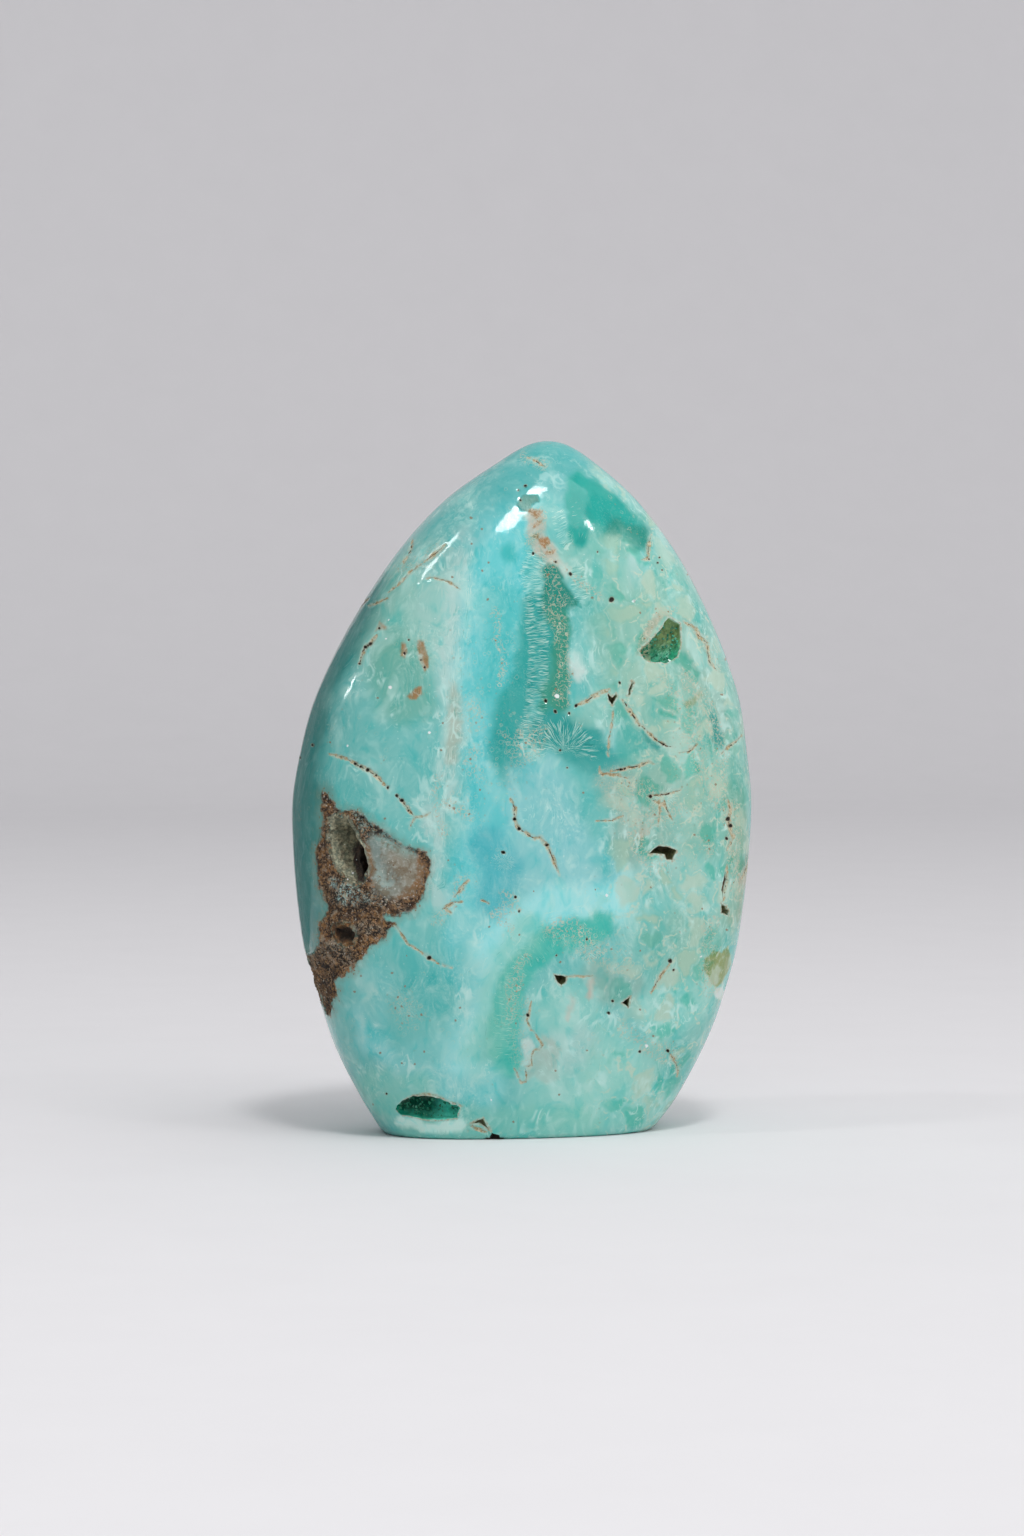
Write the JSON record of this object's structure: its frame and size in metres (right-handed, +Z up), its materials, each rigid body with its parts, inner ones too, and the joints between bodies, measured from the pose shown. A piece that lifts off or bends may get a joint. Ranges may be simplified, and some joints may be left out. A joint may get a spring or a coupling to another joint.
{
  "type": "polished blue aragonite flame",
  "caption": "Free-standing polished stone flame with a sawn flat base, a blunt tip and natural open pockets, vugs and slits in its surface.",
  "frame": {"origin": "centre of the bounding box's bottom, on the sawn flat base", "axes": "+Z up to the tip, the broad front faces -Y, +X to the right as seen from the front"},
  "size_m": [0.0667, 0.0352, 0.1],
  "materials": {
    "aragonite": "polished"
  },
  "bodies": {
    "root": {"stone": "aragonite"}
  },
  "joints": []
}
